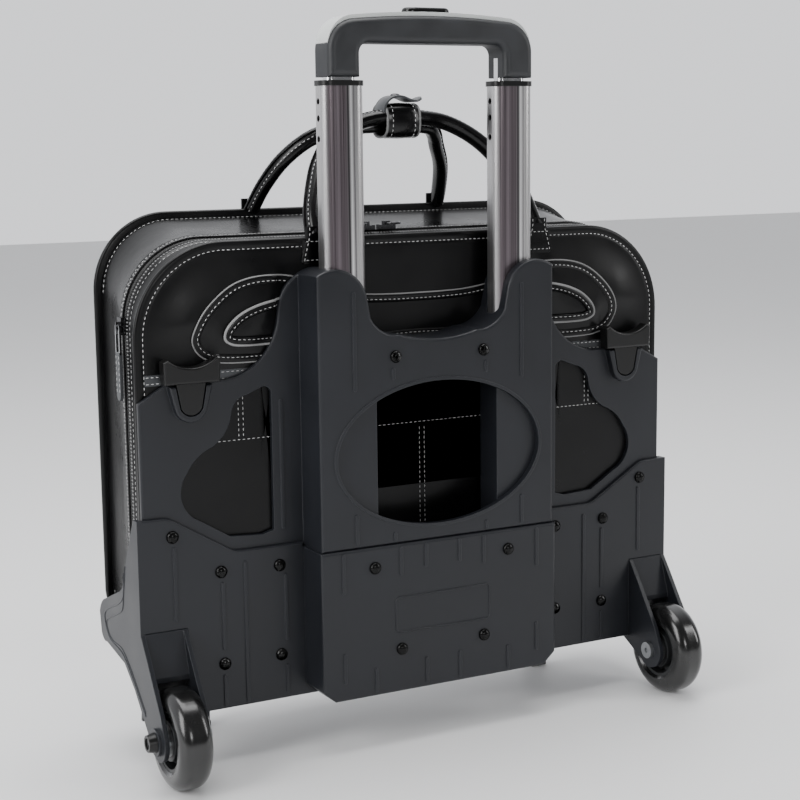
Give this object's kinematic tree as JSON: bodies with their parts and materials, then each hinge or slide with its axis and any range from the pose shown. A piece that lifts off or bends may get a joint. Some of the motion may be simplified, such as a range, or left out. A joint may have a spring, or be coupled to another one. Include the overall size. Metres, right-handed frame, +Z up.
{
  "type": "rolling laptop case",
  "caption": "Leather laptop case on a moulded trolley frame with wheels, a telescopic pull handle, paired carry handles, side latches and a zip that runs over the top.",
  "frame": {"origin": "on the floor, below the middle of the case's bounding box", "axes": "+Z up, +X to the right as seen from the trolley side, -Y towards the trolley side"},
  "size_m": [0.4582, 0.1739, 0.5256],
  "materials": {
    "frame_plastic": "fine satin grain",
    "black_plastic": "satin",
    "black_gloss": "polished",
    "tube_metal": "brushed lengthwise",
    "chrome_tube": "polished",
    "bolt_steel": "plain zinc",
    "wheel_tyre": "smooth glossy urethane",
    "wheel_hub": "satin",
    "rubber_foot": "matt",
    "grip_rubber": "soft satin touch",
    "grip_trim": "fine satin",
    "black_leather": "smooth and glossy",
    "grey_leather": "satin",
    "zip_tape": "ribbed tape and coil",
    "lining_fabric": "plain woven lining",
    "board_plastic": "plain",
    "dark_nickel": "dark nickel",
    "chrome_link": "polished"
  },
  "bodies": {
    "case": {"axle_bolts": "bolt_steel", "axle_nuts": "black_plastic", "axle_spacers": "bolt_steel", "back_panel": "frame_plastic", "base_board": "board_plastic", "base_shroud": "frame_plastic", "carry_handle_front": "black_leather", "carry_handle_rear": "black_leather", "column_screws": "black_gloss", "cover_screws": "black_gloss", "foot_pad_left": "rubber_foot", "foot_pad_right": "rubber_foot", "front_panel": "black_leather", "gusset_front": "black_leather", "gusset_rear": "black_leather", "handle_tabs": "black_leather", "handle_wrap": "black_leather", "laptop_sleeve": "lining_fabric", "lower_cover": "frame_plastic", "main_zip": "zip_tape", "organiser_panel": "lining_fabric", "outer_tube_left": "tube_metal", "outer_tube_right": "tube_metal", "rear_panel": "black_leather", "skirt_screws": "black_gloss", "stand_leg_left": "frame_plastic", "stand_leg_right": "frame_plastic", "tube_collar_left": "black_plastic", "tube_collar_right": "black_plastic", "tube_guard_left": "frame_plastic", "tube_guard_right": "frame_plastic", "tube_socket_left": "frame_plastic", "tube_socket_right": "frame_plastic"},
    "telescopic_handle": {"inner_tube_left": "chrome_tube", "inner_tube_right": "chrome_tube", "glide_shoe_left": "black_plastic", "glide_shoe_right": "black_plastic", "grip_body": "grip_rubber", "grip_trim": "grip_trim"},
    "grip_button": {"release_button": "black_gloss", "release_linkage": "bolt_steel"},
    "left_wheel": {"tyre_left": "wheel_tyre", "wheel_hub_left": "wheel_hub", "wheel_bearings_left": "bolt_steel"},
    "right_wheel": {"tyre_right": "wheel_tyre", "wheel_hub_right": "wheel_hub", "wheel_bearings_right": "bolt_steel"},
    "left_latch": {"latch_cap_left": "frame_plastic", "latch_slider_left": "black_plastic"},
    "right_latch": {"latch_cap_right": "frame_plastic", "latch_slider_right": "black_plastic"},
    "left_zip_slider": {"zip_slider_left": "dark_nickel"},
    "left_zip_pull": {"zip_ring_left": "dark_nickel"},
    "right_zip_slider": {"zip_slider_right": "dark_nickel"},
    "right_zip_pull": {"zip_ring_right": "dark_nickel"},
    "side_slider": {"side_zip_slider": "dark_nickel"},
    "side_pull": {"side_pull_link": "chrome_link", "side_pull_tab": "grey_leather"}
  },
  "joints": [
    {"name": "handle_slide", "type": "slide", "parent": "case", "child": "telescopic_handle", "axis": [0, 0, 1], "range_m": [0, 0.35]},
    {"name": "button_press", "type": "slide", "parent": "telescopic_handle", "child": "grip_button", "axis": [0, 0, -1], "range_m": [0, 0.005], "stiffness_N_per_m": 300, "springref_m": -0.004},
    {"name": "left_wheel_spin", "type": "hinge", "parent": "case", "child": "left_wheel", "pos_m": [-0.2045, -0.05135, 0.035], "axis": [1, 0, 0], "continuous": true},
    {"name": "right_wheel_spin", "type": "hinge", "parent": "case", "child": "right_wheel", "pos_m": [0.2045, -0.05135, 0.035], "axis": [1, 0, 0], "continuous": true},
    {"name": "left_latch_lift", "type": "slide", "parent": "case", "child": "left_latch", "axis": [0, 0, 1], "range_m": [0, 0.007], "stiffness_N_per_m": 250, "springref_m": -0.003},
    {"name": "right_latch_lift", "type": "slide", "parent": "case", "child": "right_latch", "axis": [0, 0, 1], "range_m": [0, 0.007], "stiffness_N_per_m": 250, "springref_m": -0.003},
    {"name": "left_zip_slide", "type": "slide", "parent": "case", "child": "left_zip_slider", "axis": [1, 0, 0], "range_m": [-0.1, 0]},
    {"name": "left_zip_pull_turn", "type": "hinge", "parent": "left_zip_slider", "child": "left_zip_pull", "pos_m": [-0.025, 0.01365, 0.374], "axis": [0, 1, 0], "range_deg": [0, 100]},
    {"name": "right_zip_slide", "type": "slide", "parent": "case", "child": "right_zip_slider", "axis": [1, 0, 0], "range_m": [0, 0.13]},
    {"name": "right_zip_pull_turn", "type": "hinge", "parent": "right_zip_slider", "child": "right_zip_pull", "pos_m": [-0.008, 0.01365, 0.374], "axis": [0, -1, 0], "range_deg": [0, 100]},
    {"name": "side_zip_slide", "type": "slide", "parent": "case", "child": "side_slider", "axis": [0, 0, -1], "range_m": [0, 0.12]},
    {"name": "side_pull_turn", "type": "hinge", "parent": "side_slider", "child": "side_pull", "pos_m": [-0.2164, 0.01365, 0.311], "axis": [0, 1, 0], "range_deg": [0, 100]}
  ]
}
